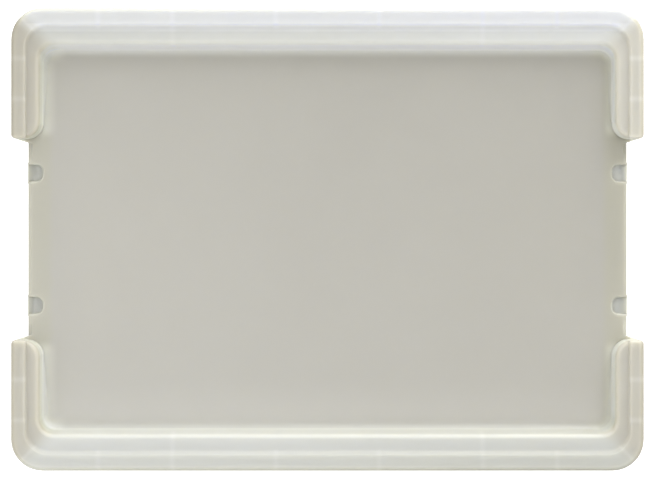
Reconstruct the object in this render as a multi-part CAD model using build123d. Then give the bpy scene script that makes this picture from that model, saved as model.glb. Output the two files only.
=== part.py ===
from build123d import *
import os

# Stacking crate with a drop-on lid. Millimetres, X along the crate, Z up.
# The origin is at the middle of the base, on the surface that the crate stands on.

# Lid, over everything
lid_length = 410.0
lid_width = 300.0
lid_corner_radius = 20.5
lid_wall = 2.2
panel_thickness = 2.4
rim_height = 12.5           # top of the outer tier above the panel
skirt_depth = 25.0          # height of the outer skirt, down from the top of the outer tier

# Lid rim, from the outside in. The end rims are narrower than the side rims.
tier_width_end = 8.8
tier_width_side = 10.4
step_drop = 1.6             # the ledge lies this far below the outer tier
step_run_end = 1.0
step_run_side = 2.8
ledge_width_end = 7.5
ledge_width_side = 9.6
inner_run_end = 1.0         # how far the rim's inner wall leans over its height
inner_run_side = 3.2
step_corner_radius = 14.0
recess_corner_radius = 9.0

# Hand notch in the middle of each end of the lid
notch_half_length = 63.8    # at the panel's edge
notch_flare = 2.2           # how much more it is at the lid's outer face
notch_depth = 7.2
notch_corner_radius = 2.6   # on the rim's outer corners beside the notch
mouth_setback = 1.8         # rim's end, back from the notch's edge
rim_edge_radius = 1.4
rim_end_radius = 11.0       # rounds off the rim's inner corner beside the notch
nose_radius = 3.6           # the panel's edge where it turns down in the notch

# Locating lugs: a hollow at the notch edge, with a lug below it
lug_offset = 43.6           # from the middle of the end
hollow_width = 10.8
hollow_length = 10.0
hollow_depth = 2.2
hollow_end_radius = 4.2
lug_skin = 1.4
lug_rise = 2.0              # how far a lug reaches up into the panel's rounded edge

# Lid ribs, in the hollow of the rim
lid_rib = 1.6
middle_rib_place = 33.4     # from the middle of the side, across the outer tier only
long_rib_place = 100.5      # from the middle of the side, across the whole rim
corner_rib_inset = 56.4     # from the end, across the outer tier only
end_rib_gap = 27.0          # from the notch
end_rib_inset = 32.9        # from the side

# Crate body
body_height = 187.0         # floor level to the top of the rim flange
body_wall = 2.6
body_floor = 2.8
foot_height = 3.0
foot_width = 9.0
foot_corner_radius = 6.0
wall_inset = 1.4            # crate wall, inboard of the foot of the lid's inner wall
draft_run = 2.6             # how far each wall leans in from rim to base
body_corner_radius = 12.0
base_edge_radius = 2.0
flange_thickness = 2.6
flange_skirt_depth = 25.0
flange_skirt_wall = 2.2
rim_clearance = 1.0         # lid skirt to crate flange, all round
lug_clearance = 0.8
body_rib = 1.8
body_rib_pitch = 33.5

# Hand-holds in the end walls
grip_length = 104.0
grip_height = 29.0
grip_radius = 11.0
grip_drop = 29.0            # top of the hand-hold below the flange
grip_collar_wall = 2.4
grip_collar_depth = 7.0

# Stiffening band round the body, with posts up to the flange
band_drop = 68.0
band_height = 3.0
band_depth = 6.0
post_wall = 2.0
post_depth = 5.0
side_post_place = 52.0
side_post_inset = 25.5      # of the post nearest the corner
end_post_place = 76.0
end_post_inset = 18.6

# Base ribs, under the floor
base_rib = 2.0
base_rib_pitch_x = 60.0
base_rib_pitch_y = 56.0

# Places worked out from the sizes above
half_x = lid_length / 2
half_y = lid_width / 2
flange_top = body_height
panel_top = flange_top + panel_thickness
tier_top = panel_top + rim_height
ledge_top = tier_top - step_drop
skirt_bottom = tier_top - skirt_depth
step_x = half_x - tier_width_end - step_run_end
step_y = half_y - tier_width_side - step_run_side
recess_x = step_x - ledge_width_end - inner_run_end
recess_y = step_y - ledge_width_side - inner_run_side
notch_x = half_x - notch_depth
mouth_half_length = notch_half_length + mouth_setback
wall_x = recess_x - wall_inset
wall_y = recess_y - wall_inset
flange_x = half_x - lid_wall - rim_clearance
flange_y = half_y - lid_wall - rim_clearance
flange_radius = lid_corner_radius - lid_wall - rim_clearance
flange_notch_x = notch_x - lid_wall - rim_clearance
flange_notch_half = mouth_half_length + notch_flare + lid_wall + rim_clearance
cut_over = 5.0              # how far a cutting block runs past what it cuts
overlap = 1.0               # how far a rib or post runs into what it joins
same = 0.01                 # places nearer than this count as one


def slab(length, width, radius, low, high):
    """A rounded rectangle, straight up from low to high."""
    return Pos(0, 0, low) * extrude(RectangleRounded(length, width, radius), high - low)


def flared(plan, low, high):
    """A block whose outline is plan(0) at low and plan(1) at high."""
    return loft([Pos(0, 0, low) * plan(0), Pos(0, 0, high) * plan(1)], ruled=True)


def at_both_ends(shape):
    return [shape, mirror(shape, Plane.YZ)]


def at_four_corners(shape):
    return [part for half in at_both_ends(shape) for part in (half, mirror(half, Plane.XZ))]


def step_recess(margin):
    """What is taken out above the ledge; margin grows it by a wall."""
    rise = step_drop + margin

    def plan(level):
        run_x = step_run_end / step_drop * rise * level
        run_y = step_run_side / step_drop * rise * level
        corner = step_corner_radius + margin + min(run_x, run_y)
        return RectangleRounded(2 * (step_x + margin + run_x), 2 * (step_y + margin + run_y), corner)

    return flared(plan, ledge_top - margin, tier_top)


def panel_recess(margin):
    """What is taken out above the panel, with a mouth through the rim at each notch."""
    bottom = panel_top - (panel_thickness if margin else 0)
    drop = ledge_top - panel_top
    rise = tier_top - bottom

    def plan(level):
        run_x = inner_run_end / drop * rise * level
        run_y = inner_run_side / drop * rise * level
        corner = recess_corner_radius + margin + min(run_x, run_y)
        pan = RectangleRounded(2 * (recess_x + margin + run_x), 2 * (recess_y + margin + run_y), corner)
        mouth = Rectangle(2 * (half_x + cut_over), 2 * (mouth_half_length + margin))
        joined = pan + mouth
        ends = [v for v in joined.vertices()
                if abs(abs(v.Y) - mouth_half_length - margin) < same and abs(v.X) < half_x]
        return fillet(ends, rim_end_radius - margin)

    return flared(plan, bottom, tier_top)


def notch_block(margin, low, high):
    """The hand notch at the +X end, from low to high, wider at the mouth."""
    inner = notch_x - margin
    outer = half_x + cut_over
    near = notch_half_length + margin
    far = near + notch_flare * (outer - inner) / notch_depth
    plan = Polygon((inner, -near), (outer, -far), (outer, far), (inner, near), align=None)
    return Pos(0, 0, low) * extrude(plan, high - low)


def lug_plan(margin, run_out):
    """Outline of a hollow with a round inboard end, run out past the notch edge."""
    inner = notch_x - hollow_length - margin
    outer = notch_x + run_out
    width = hollow_width + 2 * margin
    plan = Pos((inner + outer) / 2, lug_offset) * Rectangle(outer - inner, width)
    ends = [v for v in plan.vertices() if v.X < notch_x - hollow_length / 2]
    return fillet(ends, hollow_end_radius + margin)


def lid_ribs(space):
    """Ribs across the rim's hollow, down to the level of the panel's underside."""
    height = tier_top - flange_top
    middle = flange_top + height / 2
    ribs = []
    side_reach = tier_width_side + step_run_side
    for place in (middle_rib_place, half_x - corner_rib_inset):
        ribs += at_four_corners(
            Pos(place, half_y - side_reach / 2, middle) * Box(lid_rib, side_reach, height))
    long_reach = half_y - recess_y + cut_over
    ribs += at_four_corners(
        Pos(long_rib_place, half_y - long_reach / 2, middle) * Box(lid_rib, long_reach, height))
    end_reach = half_x - recess_x + cut_over
    for place in (notch_half_length + end_rib_gap, half_y - end_rib_inset):
        ribs += at_four_corners(
            Pos(half_x - end_reach / 2, place, middle) * Box(end_reach, lid_rib, height))
    corner = Pos(half_x - lid_corner_radius, half_y - lid_corner_radius, middle)
    ribs += at_four_corners(corner * Rot(0, 0, 45) * Box(4 * lid_corner_radius, lid_rib, height))
    return [rib & space for rib in ribs]


def make_lid():
    outside = slab(lid_length, lid_width, lid_corner_radius, skirt_bottom, tier_top)
    outside -= step_recess(0)
    outside -= panel_recess(0)
    for notch in at_both_ends(notch_block(0, skirt_bottom - cut_over, tier_top + cut_over)):
        outside -= notch

    nose = [e for e in outside.edges().filter_by(Axis.Y)
            if abs(abs(e.center().X) - notch_x) < same and abs(e.center().Z - panel_top) < same]
    outside = fillet(nose, nose_radius)
    uprights = [e for e in outside.edges().filter_by(Axis.Z) if abs(e.center().X) > half_x - same
                and abs(e.center().Y) < mouth_half_length + notch_flare]
    outside = fillet(uprights, notch_corner_radius)
    rim_edges = outside.edges().filter_by_position(Axis.Z, tier_top - same, tier_top + same)
    outside = fillet(rim_edges, rim_edge_radius)

    inner_radius = lid_corner_radius - lid_wall
    hollow = slab(lid_length - 2 * lid_wall, lid_width - 2 * lid_wall, inner_radius,
                  skirt_bottom - cut_over, tier_top - lid_wall)
    hollow -= step_recess(lid_wall)
    hollow -= panel_recess(lid_wall)
    for notch in at_both_ends(notch_block(lid_wall, skirt_bottom - 2 * cut_over, tier_top)):
        hollow -= notch
    lid = outside - hollow

    for rib in lid_ribs(hollow):
        lid += rib

    lug_low = panel_top - hollow_depth - lug_skin
    lug_top = panel_top - nose_radius + lug_rise
    lug = Pos(0, 0, lug_low) * extrude(lug_plan(lug_skin, 0), lug_top - lug_low)
    cut = Pos(0, 0, panel_top - hollow_depth) * extrude(lug_plan(0, cut_over), hollow_depth + cut_over)
    for piece in at_four_corners(lug):
        lid += piece
    for piece in at_four_corners(cut):
        lid -= piece
    return lid


def body_block(margin, low, high):
    """The tapered box of the body, grown by margin, between two heights."""

    def plan(level):
        height = low + (high - low) * level
        lean = draft_run * (1 - height / flange_top)
        return RectangleRounded(2 * (wall_x + margin - lean), 2 * (wall_y + margin - lean),
                                body_corner_radius + margin - lean)

    return flared(plan, low, high)


def flange_block(inset, low, high):
    """The rim flange's outline, cut back at the hand notches, drawn in by inset."""
    block = slab(2 * (flange_x - inset), 2 * (flange_y - inset), flange_radius - inset, low, high)
    inner = flange_notch_x - inset
    length = flange_x + cut_over - inner
    cut = Pos(inner + length / 2, 0, (low + high) / 2) * Box(
        length, 2 * (flange_notch_half + inset), high - low)
    for piece in at_both_ends(cut):
        block -= piece
    return block


def grip_plan(margin):
    return RectangleRounded(grip_length + 2 * margin, grip_height + 2 * margin, grip_radius + margin)


def grip_block(margin, reach):
    """A hand-hold shape run along X from the middle of the crate."""
    height = flange_top - grip_drop - grip_height / 2
    plane = Plane(origin=(0, 0, height), x_dir=(0, 1, 0), z_dir=(1, 0, 0))
    return extrude(plane * grip_plan(margin), reach)


def make_body():
    skirt_low = flange_top - flange_skirt_depth
    under = flange_top - flange_thickness
    shell = body_block(0, 0, flange_top)
    shell = fillet(shell.faces().sort_by(Axis.Z)[0].edges(), base_edge_radius)

    body = shell + flange_block(0, skirt_low, flange_top)
    pocket = flange_block(flange_skirt_wall, skirt_low - cut_over, under) - shell
    body -= pocket

    # Ribs between the wall and the flange's skirt
    middle = (skirt_low + under) / 2
    rib_height = under - skirt_low
    count = int((flange_x - lid_corner_radius) / body_rib_pitch)
    grid = [Pos(i * body_rib_pitch, 0, middle) * Box(body_rib, lid_width, rib_height)
            for i in range(-count, count + 1)]
    count = int((flange_y - lid_corner_radius) / body_rib_pitch)
    grid += [Pos(0, (i + 0.5) * body_rib_pitch, middle) * Box(lid_length, body_rib, rib_height)
             for i in range(-count - 1, count + 1)]
    for rib in grid:
        body += rib & pocket

    # Stiffening band, and posts from it up to the flange
    band_top = flange_top - band_drop
    body += body_block(band_depth, band_top - band_height, band_top)
    post_height = skirt_low - band_top + 2 * overlap
    post_middle = (skirt_low + band_top) / 2
    for place in (side_post_place, wall_x - side_post_inset):
        for post in at_four_corners(
                Pos(place, wall_y, post_middle) * Box(post_wall, 2 * post_depth, post_height)):
            body += post
    for place in (end_post_place, wall_y - end_post_inset):
        for post in at_four_corners(
                Pos(wall_x, place, post_middle) * Box(2 * post_depth, post_wall, post_height)):
            body += post

    for collar in at_both_ends(grip_block(grip_collar_wall, wall_x + grip_collar_depth)):
        body += collar

    # Inside of the box
    body -= body_block(-body_wall, foot_height + body_floor, flange_top + cut_over)

    # Hand-holds, key slots and the space inside the foot
    for grip in at_both_ends(grip_block(0, half_x)):
        body -= grip
    slot_plan = lug_plan(lug_skin + lug_clearance, cut_over)
    slot = Pos(0, 0, under - overlap) * extrude(slot_plan, flange_thickness + 2 * overlap)
    for piece in at_four_corners(slot):
        body -= piece
    base_x = wall_x - draft_run - foot_width
    base_y = wall_y - draft_run - foot_width
    body -= slab(2 * base_x, 2 * base_y, foot_corner_radius, -cut_over, foot_height)
    count_x = int(base_x / base_rib_pitch_x)
    count_y = int(base_y / base_rib_pitch_y)
    across = Pos(0, 0, foot_height / 2) * Box(base_rib, 2 * (base_y + overlap), foot_height)
    along = Pos(0, 0, foot_height / 2) * Box(2 * (base_x + overlap), base_rib, foot_height)
    for i in range(-count_x, count_x + 1):
        body += Pos(i * base_rib_pitch_x, 0, 0) * across
    for i in range(-count_y, count_y + 1):
        body += Pos(0, i * base_rib_pitch_y, 0) * along
    return body


os.makedirs("parts", exist_ok=True)
for name, shape in (("crate_body", make_body()), ("lid", make_lid())):
    export_step(shape, f"parts/{name}.step")
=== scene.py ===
import bpy
import bmesh
import math
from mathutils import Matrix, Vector


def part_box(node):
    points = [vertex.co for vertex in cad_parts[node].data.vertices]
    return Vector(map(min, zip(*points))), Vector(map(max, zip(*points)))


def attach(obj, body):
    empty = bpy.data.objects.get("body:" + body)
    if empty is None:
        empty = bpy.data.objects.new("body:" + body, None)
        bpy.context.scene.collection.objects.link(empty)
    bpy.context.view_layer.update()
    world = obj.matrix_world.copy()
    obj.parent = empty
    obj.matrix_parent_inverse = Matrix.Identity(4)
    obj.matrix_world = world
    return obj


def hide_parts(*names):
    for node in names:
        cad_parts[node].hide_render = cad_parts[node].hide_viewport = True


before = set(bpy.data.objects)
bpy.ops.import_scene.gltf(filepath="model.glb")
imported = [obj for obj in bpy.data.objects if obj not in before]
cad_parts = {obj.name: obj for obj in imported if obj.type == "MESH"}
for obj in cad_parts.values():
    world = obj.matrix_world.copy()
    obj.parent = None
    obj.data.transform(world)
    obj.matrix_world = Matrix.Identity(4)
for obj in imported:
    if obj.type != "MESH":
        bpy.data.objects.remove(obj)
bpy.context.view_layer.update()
mm = 0.001

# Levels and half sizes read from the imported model
lidHalfX, lidHalfY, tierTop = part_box("lid")[1]
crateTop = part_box("crate_body")[1][2]


def addMath(tree, operation, first, second=None, third=None):
    node = tree.nodes.new("ShaderNodeMath")
    node.operation = operation
    for socket, value in zip(node.inputs, (first, second, third)):
        if value is None:
            continue
        if isinstance(value, (int, float)):
            socket.default_value = value
        else:
            tree.links.new(value, socket)
    return node.outputs[0]


def addProduct(tree, first, *others):
    for other in others:
        first = addMath(tree, "MULTIPLY", first, other)
    return first


# A soft ramp: toLow up to low, toHigh from high on
def addRange(tree, value, low, high, toLow=0.0, toHigh=1.0):
    node = tree.nodes.new("ShaderNodeMapRange")
    node.interpolation_type = "SMOOTHSTEP"
    tree.links.new(value, node.inputs["Value"])
    for name, number in zip(("From Min", "From Max", "To Min", "To Max"), (low, high, toLow, toHigh)):
        node.inputs[name].default_value = number
    return node.outputs["Result"]


def addNoise(tree, vector, scale, detail, roughness=0.5):
    node = tree.nodes.new("ShaderNodeTexNoise")
    node.inputs["Detail"].default_value = detail
    node.inputs["Roughness"].default_value = roughness
    tree.links.new(vector, node.inputs["Vector"])
    if isinstance(scale, (int, float)):
        node.inputs["Scale"].default_value = scale
    else:
        tree.links.new(scale, node.inputs["Scale"])
    return node.outputs["Fac"]


# How far a point lies outside a rounded rectangle, less than nothing inside it
def addOutlineDistance(tree, absX, absY, halfX, halfY, radius):
    pastX = addMath(tree, "SUBTRACT", absX, halfX - radius)
    pastY = addMath(tree, "SUBTRACT", absY, halfY - radius)
    outX = addMath(tree, "MAXIMUM", pastX, 0.0)
    outY = addMath(tree, "MAXIMUM", pastY, 0.0)
    squared = addMath(tree, "MULTIPLY_ADD", outX, outX, addMath(tree, "MULTIPLY", outY, outY))
    outside = addMath(tree, "SQRT", squared)
    inside = addMath(tree, "MINIMUM", addMath(tree, "MAXIMUM", pastX, pastY), 0.0)
    return addMath(tree, "SUBTRACT", addMath(tree, "ADD", outside, inside), radius)


def addMix(tree, factor, first, second, blend="MIX"):
    node = tree.nodes.new("ShaderNodeMix")
    node.data_type = "RGBA"
    node.blend_type = blend
    pairs = ((node.inputs[0], factor), (node.inputs[6], first), (node.inputs[7], second))  # colour sockets
    for socket, value in pairs:
        if isinstance(value, (float, tuple)):
            socket.default_value = value
        else:
            tree.links.new(value, socket)
    return node.outputs[2]


# Object coordinates, with their sizes on both sides of the middle
def addPlace(tree):
    place = tree.nodes.new("ShaderNodeTexCoord").outputs["Object"]
    split = tree.nodes.new("ShaderNodeSeparateXYZ")
    tree.links.new(place, split.inputs[0])
    x, y, height = split.outputs
    return place, x, y, height, addMath(tree, "ABSOLUTE", x), addMath(tree, "ABSOLUTE", y)


# Natural polypropylene: what both mouldings share
plasticSettings = {
    "ior": 1.49,
    "scatterRadius": (1.0, 0.95, 0.8),
    "milkiness": 0.9,
    "milkDepth": 12 * mm,
    "cloudDetail": 4,
    "cloudRoughness": 0.55,
    "cloudTone": 0.10,         # how much the clouds change the colour
    "cloudGloss": 0.12,        # and the roughness
    "fineSkinScale": 1400,
    "flowScale": 26,
    "flowShare": 0.8,
    "skinDetail": 2,
    "skinStrength": 0.35,
    "skinDepth": 0.05 * mm,
}


# Cloudiness and fine skin, placed in each plastic with its own cloud size
def makeMilkGroup(look):
    group = bpy.data.node_groups.new("milkyPolypropylene", "ShaderNodeTree")
    group.interface.new_socket("Vector", in_out="INPUT", socket_type="NodeSocketVector")
    group.interface.new_socket("Cloud Scale", in_out="INPUT", socket_type="NodeSocketFloat")
    group.interface.new_socket("Cloud", in_out="OUTPUT", socket_type="NodeSocketFloat")
    group.interface.new_socket("Skin Height", in_out="OUTPUT", socket_type="NodeSocketFloat")
    source = group.nodes.new("NodeGroupInput")
    result = group.nodes.new("NodeGroupOutput")
    vector = source.outputs["Vector"]
    cloudScale = source.outputs["Cloud Scale"]
    cloud = addNoise(group, vector, cloudScale, look["cloudDetail"], look["cloudRoughness"])
    fine = addNoise(group, vector, look["fineSkinScale"], look["skinDetail"])
    flow = addNoise(group, vector, look["flowScale"], look["skinDetail"])
    skin = addMath(group, "MULTIPLY_ADD", flow, look["flowShare"], fine)
    group.links.new(addMath(group, "SUBTRACT", cloud, 0.5), result.inputs["Cloud"])
    group.links.new(skin, result.inputs["Skin Height"])
    return group


milkGroup = makeMilkGroup(plasticSettings)


def startMaterial(name, roughness, plastic=plasticSettings):
    material = bpy.data.materials.new(name)
    material.use_nodes = True
    shader = material.node_tree.nodes["Principled BSDF"]
    shader.inputs["Roughness"].default_value = roughness
    shader.inputs["IOR"].default_value = plastic["ior"]
    shader.inputs["Subsurface Weight"].default_value = plastic["milkiness"]
    shader.inputs["Subsurface Radius"].default_value = plastic["scatterRadius"]
    shader.inputs["Subsurface Scale"].default_value = plastic["milkDepth"]
    return material, material.node_tree, shader


def placeMilk(tree, vector, cloudScale):
    milk = tree.nodes.new("ShaderNodeGroup")
    milk.node_tree = milkGroup
    milk.inputs["Cloud Scale"].default_value = cloudScale
    tree.links.new(vector, milk.inputs["Vector"])
    return milk


# The clouds change the colour and the gloss, and the skin gives the bump
def finishPlastic(tree, shader, milk, colour, roughness, tone, warmth=None, plastic=plasticSettings):
    shade = addMath(tree, "MULTIPLY_ADD", milk.outputs["Cloud"], plastic["cloudTone"], tone)
    # Where warmth is given it is painted warm light, taken out of the blue
    blue = addMath(tree, "SUBTRACT", shade, warmth) if warmth else shade
    grey = tree.nodes.new("ShaderNodeCombineColor")
    for socket, value in zip(grey.inputs[:3], (shade, shade, blue)):
        tree.links.new(value, socket)
    colour = addMix(tree, 1.0, colour, grey.outputs[0], "MULTIPLY")
    tree.links.new(colour, shader.inputs["Base Color"])
    bump = tree.nodes.new("ShaderNodeBump")
    bump.inputs["Strength"].default_value = plastic["skinStrength"]
    bump.inputs["Distance"].default_value = plastic["skinDepth"]
    tree.links.new(milk.outputs["Skin Height"], bump.inputs["Height"])
    tree.links.new(bump.outputs["Normal"], shader.inputs["Normal"])
    rough = addMath(tree, "MULTIPLY_ADD", milk.outputs["Cloud"], plastic["cloudGloss"], roughness)
    tree.links.new(rough, shader.inputs["Roughness"])


lidSettings = {
    # Shape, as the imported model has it
    "cornerRadius": 20.5 * mm,
    "rimHeight": 12.5 * mm,
    "stepDrop": 1.6 * mm,
    "footX": 186.7 * mm,               # foot of the rim's inner wall
    "footY": 124.0 * mm,
    "footCorner": 9 * mm,
    "mouthHalf": 65.6 * mm,            # where the rim ends beside a notch
    "notchDepth": 7.2 * mm,
    "lugOffset": 43.6 * mm,
    "hollowSize": (10.1 * mm, 5.5 * mm, 2.1 * mm),    # takes in a hollow's edges, but not its bottom's
    # Moulded radii, each with its segments
    "footRound": (3.4 * mm, 5),
    "ledgeRound": (2.0 * mm, 4),
    "stepRound": (1.0 * mm, 3),
    "hollowRound": (1.4 * mm, 3),
    "edgeRound": (0.5 * mm, 3),
    "edgeRoundBelow": 4 * mm,          # small radii only this far under the panel's top
    # Plastic
    "roughness": 0.42,
    "cloudScale": 9,
    "panelColour": (0.515, 0.495, 0.435, 1),
    "rimColour": (0.75, 0.745, 0.64, 1),
    "endRimShadedColour": (0.585, 0.55, 0.455, 1),
    "ribColour": (0.96, 0.94, 0.87, 1),
    # Where the rim's painted light begins and is full
    "tallFade": (0.2 * mm, 2.5 * mm),          # over the panel
    "endSkirtFade": (6.7 * mm, 5 * mm),        # in from the end
    "sideSkirtFade": (13.2 * mm, 11 * mm),     # in from the side
    # Painted light beside the rim's foot and in the hollows
    "footGlow": 0.4,
    "footGlowWidth": 6 * mm,
    "mouthFade": 8 * mm,
    "hollowGlow": 0.65,
    "hollowSideFade": (5 * mm, 7 * mm),        # from the hollow's middle
    "hollowEndFade": (19 * mm, 17 * mm),       # in from the end
    "hollowDepth": 2 * mm,
    "cornerFade": 10 * mm,                     # between side rim and end rim
    "overWallFade": (5 * mm, 1.5 * mm),        # under the ledge
    # Painted light: ribs that show through as lighter lines
    "ribWidth": 3.0 * mm,
    "ribGlow": 0.16,
    "longRib": 100.5 * mm,
    "shortRibs": (33.4 * mm, 148.6 * mm),
    "endRibs": (90.8 * mm, 117.1 * mm),
    "cornerRib": (184.5 * mm, 129.5 * mm),
    "longRibFade": (25 * mm, 24 * mm),         # in from the side
    "shortRibFade": (14 * mm, 13 * mm),        # in from the side
    "endRibFade": (10 * mm, 9 * mm),           # in from the end
    "cornerRibFade": (3 * mm, 6 * mm),
    # Painted light and shade by place, set for this light: above nothing is lighter, below it darker
    "panelTone": (-0.06, -0.075),              # towards +X, towards +Y
    "ledgeTone": 0.01,
    "cornerTone": 0.08,
    "tierTone": (0.20, 0.09),                  # towards +Y, and all over
    "tierFade": 0.2 * mm,
    "endTone": 0.06,
    "wallFade": (-5 * mm, 2.5 * mm),           # out from the foot
    "underLedgeFade": (3 * mm, 0.5 * mm),
    # Each of the next six: the two shares of the half size between which it fades, and its tone
    "northWallTone": (0.74, 0.82, 0.38),
    "eastWallTone": (0.84, 0.90, 0.22),
    "southWallTone": (-0.80, -0.76, -0.12),
    "westFootTone": (-0.88, -0.83, 0.3),
    "northSlopeTone": (0.5, 0.85, 0.2),
    "southPanelTone": (-0.80, -0.60, 0.09),
    # In from the side: where the band begins, is full from, is full to and ends
    "slopeBand": (16.2 * mm, 14.4 * mm, 11.2 * mm, 9.6 * mm),
    "footFade": (-10 * mm, -1 * mm),
    "nearPanelFade": (1.5 * mm, 5 * mm),
    "skirtTone": -0.35,
    "skirtFade": (-3 * mm, -0.6 * mm),         # out from the outline
    # Painted warm light: less blue on the low walls and in the hollows
    "paintedWarmLight": 0.07,
    "warmthFade": (-8 * mm, -1 * mm),
}


# Where light is painted in: the rim, the hollows, and a little of the panel beside the rim's foot are paler,
# as if lit through the thin plastic
def addRimLightMask(tree, look, absX, absY, height, outward, besideMouth):
    panelTop = tierTop - look["rimHeight"]

    def inFrom(distance, edge, fade):
        return addRange(tree, distance, edge - fade[0], edge - fade[1])

    tall = addRange(tree, height, panelTop + look["tallFade"][0], panelTop + look["tallFade"][1])
    endSkirt = inFrom(absX, lidHalfX, look["endSkirtFade"])
    sideSkirt = inFrom(absY, lidHalfY, look["sideSkirtFade"])
    foot = addRange(tree, outward, -look["footGlowWidth"], 0.0, 0.0, look["footGlow"])
    offLug = addMath(tree, "ABSOLUTE", addMath(tree, "SUBTRACT", absY, look["lugOffset"]))
    inHollow = addProduct(tree, addRange(tree, offLug, *look["hollowSideFade"], 1.0, 0.0),
                          inFrom(absX, lidHalfX, look["hollowEndFade"]),
                          addRange(tree, height, panelTop - look["hollowDepth"], panelTop,
                                   look["hollowGlow"], 0.0))
    rim = addProduct(tree, foot, besideMouth)
    for part in (tall, endSkirt, sideSkirt, inHollow):
        rim = addMath(tree, "MAXIMUM", rim, part)
    return rim, inHollow


# Painted light: ribs show through the rim as lighter lines
def addRibLines(tree, look, absX, absY):
    def line(distance, place):
        offset = addMath(tree, "ABSOLUTE", addMath(tree, "SUBTRACT", distance, place))
        return addRange(tree, offset, 0.0, look["ribWidth"], 1.0, 0.0)

    def inFrom(distance, edge, fade):
        return addRange(tree, distance, edge - fade[0], edge - fade[1])

    onSides = inFrom(absY, lidHalfY, look["shortRibFade"])
    onEnds = inFrom(absX, lidHalfX, look["endRibFade"])
    pastX = addMath(tree, "SUBTRACT", absX, look["cornerRib"][0])
    pastY = addMath(tree, "SUBTRACT", absY, look["cornerRib"][1])
    inCorner = addRange(tree, addMath(tree, "MINIMUM", pastX, pastY), *look["cornerRibFade"])
    ribs = [(line(absX, look["longRib"]), inFrom(absY, lidHalfY, look["longRibFade"])),
            (line(addMath(tree, "SUBTRACT", pastX, pastY), 0.0), inCorner)]
    ribs += [(line(absX, rib), onSides) for rib in look["shortRibs"]]
    ribs += [(line(absY, rib), onEnds) for rib in look["endRibs"]]
    lines = addProduct(tree, *ribs[0])
    for rib in ribs[1:]:
        lines = addMath(tree, "MAXIMUM", lines, addProduct(tree, *rib))
    return lines


# Painted light and shade by place, to stand in for how light falls on the panel, rim and skirt and gathers
# in the walls: it isn't a known property of the plastic
def addPaintedLightAndShade(tree, look, places, rim, alongEnds, underLedge, besideMouth):
    x, y, height, absX, absY, outward = places
    panelTop = tierTop - look["rimHeight"]
    ledgeTop = tierTop - look["stepDrop"]
    shareX = addMath(tree, "DIVIDE", x, lidHalfX)
    shareY = addMath(tree, "DIVIDE", y, lidHalfY)

    corner = addProduct(tree, shareX, shareY, look["cornerTone"])
    ledge = addProduct(tree, shareY, look["ledgeTone"])
    onTier = addRange(tree, height, ledgeTop + look["tierFade"], tierTop - look["tierFade"])
    tier = addMath(tree, "MULTIPLY_ADD", shareY, look["tierTone"][0], look["tierTone"][1])
    alongSides = addMath(tree, "SUBTRACT", 1.0, alongEnds)
    tier = addProduct(tree, onTier, alongSides, tier)
    end = addProduct(tree, alongEnds, shareX, look["endTone"])
    rimTone = addMath(tree, "ADD", addMath(tree, "ADD", corner, ledge), addMath(tree, "ADD", tier, end))

    panelTone = addProduct(tree, shareX, look["panelTone"][0])
    panelTone = addMath(tree, "MULTIPLY_ADD", shareY, look["panelTone"][1], panelTone)
    tone = addMath(tree, "MULTIPLY_ADD", addMath(tree, "SUBTRACT", rimTone, panelTone), rim, panelTone)

    east = addRange(tree, shareX, *look["eastWallTone"][:2], 0.0, look["eastWallTone"][2])
    north = addRange(tree, shareY, *look["northWallTone"][:2], 0.0, look["northWallTone"][2])
    south = addRange(tree, shareY, *look["southWallTone"], 0.0)
    wall = addMath(tree, "ADD", south, addMath(tree, "MAXIMUM", north, east))
    onWall = addProduct(tree, addRange(tree, outward, *look["wallFade"]), underLedge, besideMouth)
    tone = addMath(tree, "MULTIPLY_ADD", onWall, wall, tone)

    nearPanel = addRange(tree, height, panelTop + look["nearPanelFade"][0],
                         panelTop + look["nearPanelFade"][1], 1.0, 0.0)
    onFoot = addProduct(tree, addRange(tree, outward, *look["footFade"]), nearPanel, besideMouth)
    west = addRange(tree, shareX, *look["westFootTone"], 0.0)
    tone = addMath(tree, "MULTIPLY_ADD", onFoot, west, tone)

    outer, full, fullEnd, end = look["slopeBand"]
    onSlope = addProduct(tree, addRange(tree, absY, lidHalfY - outer, lidHalfY - full),
                         addRange(tree, absY, lidHalfY - fullEnd, lidHalfY - end, 1.0, 0.0), alongSides)
    northSlope = addRange(tree, shareY, *look["northSlopeTone"][:2], 0.0, look["northSlopeTone"][2])
    tone = addMath(tree, "MULTIPLY_ADD", onSlope, northSlope, tone)
    southPanel = addRange(tree, shareY, *look["southPanelTone"], 0.0)
    tone = addMath(tree, "MULTIPLY_ADD", nearPanel, southPanel, tone)

    pastEdge = addOutlineDistance(tree, absX, absY, lidHalfX, lidHalfY, look["cornerRadius"])
    skirt = addRange(tree, pastEdge, *look["skirtFade"])
    tone = addMath(tree, "MULTIPLY_ADD", skirt, look["skirtTone"], tone)
    return addMath(tree, "ADD", tone, 1.0)


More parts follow.
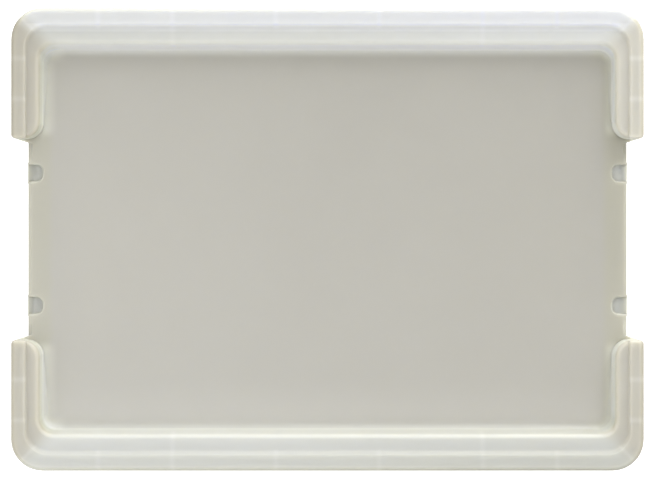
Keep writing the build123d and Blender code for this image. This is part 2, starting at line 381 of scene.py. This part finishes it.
def makeLidPlastic(look):
    material, tree, shader = startMaterial("lidPlastic", look["roughness"])
    place, x, y, height, absX, absY = addPlace(tree)
    milk = placeMilk(tree, place, look["cloudScale"])
    ledgeTop = tierTop - look["stepDrop"]
    outward = addOutlineDistance(tree, absX, absY, look["footX"], look["footY"], look["footCorner"])
    besideMouth = addRange(tree, absY, look["mouthHalf"], look["mouthHalf"] + look["mouthFade"])
    underLedge = addRange(tree, height, ledgeTop - look["underLedgeFade"][0],
                          ledgeTop - look["underLedgeFade"][1], 1.0, 0.0)
    pastCorner = addMath(tree, "SUBTRACT", addMath(tree, "SUBTRACT", absX, absY), lidHalfX - lidHalfY)
    alongEnds = addRange(tree, pastCorner, -look["cornerFade"], look["cornerFade"])
    overWall = addRange(tree, height, ledgeTop - look["overWallFade"][0], ledgeTop - look["overWallFade"][1])

    rim, inHollow = addRimLightMask(tree, look, absX, absY, height, outward, besideMouth)
    lines = addProduct(tree, addRibLines(tree, look, absX, absY), look["ribGlow"])
    # Painted light and shade: the rim is paler than the panel, and darker along the ends
    rimColour = addMix(tree, addProduct(tree, alongEnds, overWall), look["rimColour"], look["endRimShadedColour"])
    colour = addMix(tree, rim, look["panelColour"], rimColour)
    colour = addMix(tree, lines, colour, look["ribColour"])

    places = (x, y, height, absX, absY, outward)
    tone = addPaintedLightAndShade(tree, look, places, rim, alongEnds, underLedge, besideMouth)
    # Painted warm light: the low walls along the ends and the hollows lose a little blue
    lowWall = addProduct(tree, addRange(tree, outward, *look["warmthFade"]), underLedge, alongEnds)
    warmth = addProduct(tree, addMath(tree, "MAXIMUM", lowWall, inHollow), look["paintedWarmLight"])
    finishPlastic(tree, shader, milk, colour, look["roughness"], tone, warmth)
    print("lid plastic ready,", len(tree.nodes), "nodes")
    return material


# Signed angle between an edge's two faces in degrees: a hollow corner is less than nothing
def foldAngle(edge):
    return math.degrees(edge.calc_face_angle_signed()) if edge.is_manifold else 0


def roundEdges(shape, edges, size, clamp=False):
    radius, segments = size
    bmesh.ops.bevel(shape, geom=edges, offset=radius, offset_type="OFFSET", affect="EDGES",
                    segments=segments, profile=0.5, material=-1, clamp_overlap=clamp)


# Angles in degrees
meshSettings = {
    "mergeDistance": 0.001 * mm,
    "flatAngle": 0.5,          # faces nearer to flat than this are joined
    "sharpAngle": 28,          # a fold from here on is an edge to round
    "shallowAngle": 10,        # the step's foot folds less
    "near": 0.05 * mm,
    "sliver": 0.02 * mm,
    "smoothAngle": 40,
    "normalWeight": 100,
}


# The lid's own large radii: along the foot of the rim's inner wall, the ledge, the step and the hollows
def roundLid(shape, look, mesh=meshSettings):
    panelTop = tierTop - look["rimHeight"]
    ledgeTop = tierTop - look["stepDrop"]
    near = mesh["near"]
    sharp = mesh["sharpAngle"]

    def level(edge, height):
        return all(abs(v.co.z - height) < near for v in edge.verts)

    def onFoot(edge):
        for v in edge.verts:
            outX = max(abs(v.co.x) - look["footX"] + look["footCorner"], 0)
            outY = max(abs(v.co.y) - look["footY"] + look["footCorner"], 0)
            if abs(math.hypot(outX, outY) - look["footCorner"]) > 2 * near:
                return False
        return True

    def onHollow(edge):
        length, halfWidth, depth = look["hollowSize"]
        return all(abs(v.co.x) > lidHalfX - look["notchDepth"] - length
                   and abs(abs(v.co.y) - look["lugOffset"]) < halfWidth
                   and panelTop - depth < v.co.z < panelTop + near for v in edge.verts)

    foot = [e for e in shape.edges if foldAngle(e) < -sharp and level(e, panelTop) and onFoot(e)]
    roundEdges(shape, foot, look["footRound"])
    ledge = [e for e in shape.edges if foldAngle(e) > sharp and level(e, ledgeTop)]
    roundEdges(shape, ledge, look["ledgeRound"])
    step = [e for e in shape.edges if foldAngle(e) < -mesh["shallowAngle"] and level(e, ledgeTop)]
    roundEdges(shape, step, look["stepRound"])
    hollows = [e for e in shape.edges if foldAngle(e) > sharp and onHollow(e)]
    roundEdges(shape, hollows, look["hollowRound"])
    bmesh.ops.dissolve_degenerate(shape, dist=mesh["sliver"], edges=shape.edges)
    print("rounded", len(foot), "foot,", len(ledge), "ledge,", len(step), "step and",
          len(hollows), "hollow edges")
    return panelTop - look["edgeRoundBelow"]


# A finished moulding: the CAD shape with its sharp edges given their moulded radii
def makeMoulding(nodeName, pieceName, look, material, body, roundOff=None):
    limits = meshSettings
    mesh = bpy.data.meshes.new(pieceName)
    shape = bmesh.new()
    shape.from_mesh(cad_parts[nodeName].data)
    bmesh.ops.remove_doubles(shape, verts=shape.verts, dist=limits["mergeDistance"])
    bmesh.ops.dissolve_limit(shape, angle_limit=math.radians(limits["flatAngle"]),
                             verts=shape.verts, edges=shape.edges)
    below = roundOff(shape, look) if roundOff else math.inf
    sharp = [e for e in shape.edges if abs(foldAngle(e)) > limits["sharpAngle"]
             and all(v.co.z < below for v in e.verts)]
    roundEdges(shape, sharp, look["edgeRound"], True)
    bmesh.ops.recalc_face_normals(shape, faces=shape.faces)
    shape.to_mesh(mesh)
    shape.free()
    piece = bpy.data.objects.new(pieceName, mesh)
    bpy.context.scene.collection.objects.link(piece)
    mesh.materials.append(material)
    mesh.shade_smooth()
    mesh.set_sharp_from_angle(angle=math.radians(limits["smoothAngle"]))
    shading = piece.modifiers.new("WeightedNormal", "WEIGHTED_NORMAL")
    shading.weight = limits["normalWeight"]
    shading.keep_sharp = True
    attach(piece, body)
    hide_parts(nodeName)
    print("made", pieceName, len(mesh.polygons), "faces")
    return piece


crateSettings = {
    "edgeRound": (0.5 * mm, 2),
    "roughness": 0.45,
    "cloudScale": 7,
    "wallColour": (0.61, 0.60, 0.53, 1),
    "rimColour": (0.73, 0.72, 0.65, 1),
    "rimFade": 75 * mm,                # down from the rim
    "floorColour": (0.90, 0.88, 0.79, 1),
    "floorHalf": (181 * mm, 118 * mm),
    "floorCorner": 8 * mm,
    "floorEdgeFade": (-2 * mm, 2 * mm),
    "floorHeightFade": (6 * mm, 14 * mm),
}


def makeCratePlastic(look):
    material, tree, shader = startMaterial("cratePlastic", look["roughness"])
    place, x, y, height, absX, absY = addPlace(tree)
    milk = placeMilk(tree, place, look["cloudScale"])
    rim = addRange(tree, height, crateTop - look["rimFade"], crateTop)
    colour = addMix(tree, rim, look["wallColour"], look["rimColour"])
    # Painted light: the floor is paler, since little light reaches it from below and it would look too dark
    # beside the walls
    pastFloor = addOutlineDistance(tree, absX, absY, *look["floorHalf"], look["floorCorner"])
    overFloor = addProduct(tree, addRange(tree, pastFloor, *look["floorEdgeFade"], 1.0, 0.0),
                           addRange(tree, height, *look["floorHeightFade"], 1.0, 0.0))
    colour = addMix(tree, overFloor, colour, look["floorColour"])
    finishPlastic(tree, shader, milk, colour, look["roughness"], 1.0)
    print("crate plastic ready,", len(tree.nodes), "nodes")
    return material


studioSettings = {
    "cameraHeight": 700 * mm,          # over the lid
    "cameraY": -0.5 * mm,
    "frameWidth": 423.7 * mm,          # what the view takes in at the lid's top
    "sensorWidth": 36,
    "floorSize": 6.0,
    "floorColour": (0.70, 0.70, 0.70, 1),
    "floorRoughness": 0.8,
    "floorGlow": 0.75,
    "worldColour": (1, 1, 1, 1),
    "worldStrength": 0.95,
    "lamps": {                         # place, size, power
        "windowLight": ((0.55, 1.3, 0.6), 1.2, 18.0),
        "fillLight": ((-0.9, -0.9, 1.0), 1.2, 3.0),
    },
}


def makeStudio(look):
    scene = bpy.context.scene
    lens = bpy.data.cameras.new("camera")
    lens.sensor_width = look["sensorWidth"]
    lens.lens = look["sensorWidth"] * look["cameraHeight"] / look["frameWidth"]
    lens.clip_start = 10 * mm
    camera = bpy.data.objects.new("camera", lens)
    camera.location = (0, look["cameraY"], tierTop + look["cameraHeight"])
    scene.collection.objects.link(camera)
    scene.camera = camera

    bpy.ops.mesh.primitive_plane_add(size=look["floorSize"])
    floor = bpy.context.object
    floor.name = "floor"
    paint = bpy.data.materials.new("floorPaint")
    paint.use_nodes = True
    tree = paint.node_tree
    shader = tree.nodes["Principled BSDF"]
    shader.inputs["Base Color"].default_value = look["floorColour"]
    shader.inputs["Roughness"].default_value = look["floorRoughness"]
    # The floor looks white without lighting the object from below
    seen = tree.nodes.new("ShaderNodeLightPath").outputs["Is Camera Ray"]
    tree.links.new(addProduct(tree, seen, look["floorGlow"]), shader.inputs["Emission Strength"])
    shader.inputs["Emission Color"].default_value = look["worldColour"]
    floor.data.materials.append(paint)

    world = bpy.data.worlds.new("studio")
    world.use_nodes = True
    sky = world.node_tree.nodes["Background"]
    sky.inputs["Color"].default_value = look["worldColour"]
    sky.inputs["Strength"].default_value = look["worldStrength"]
    scene.world = world

    for name, (place, size, power) in look["lamps"].items():
        light = bpy.data.lights.new(name, "AREA")
        light.size = size
        light.energy = power
        lamp = bpy.data.objects.new(name, light)
        lamp.location = place
        aim = Vector((0, 0, tierTop)) - lamp.location
        lamp.rotation_euler = aim.to_track_quat("-Z", "Y").to_euler()
        scene.collection.objects.link(lamp)

    scene.view_settings.view_transform = "Standard"
    scene.view_settings.look = "None"
    print("studio ready")


makeStudio(studioSettings)
makeMoulding("lid", "lidMoulding", lidSettings, makeLidPlastic(lidSettings), "lid", roundLid)
makeMoulding("crate_body", "crateMoulding", crateSettings, makeCratePlastic(crateSettings),
             "crate")
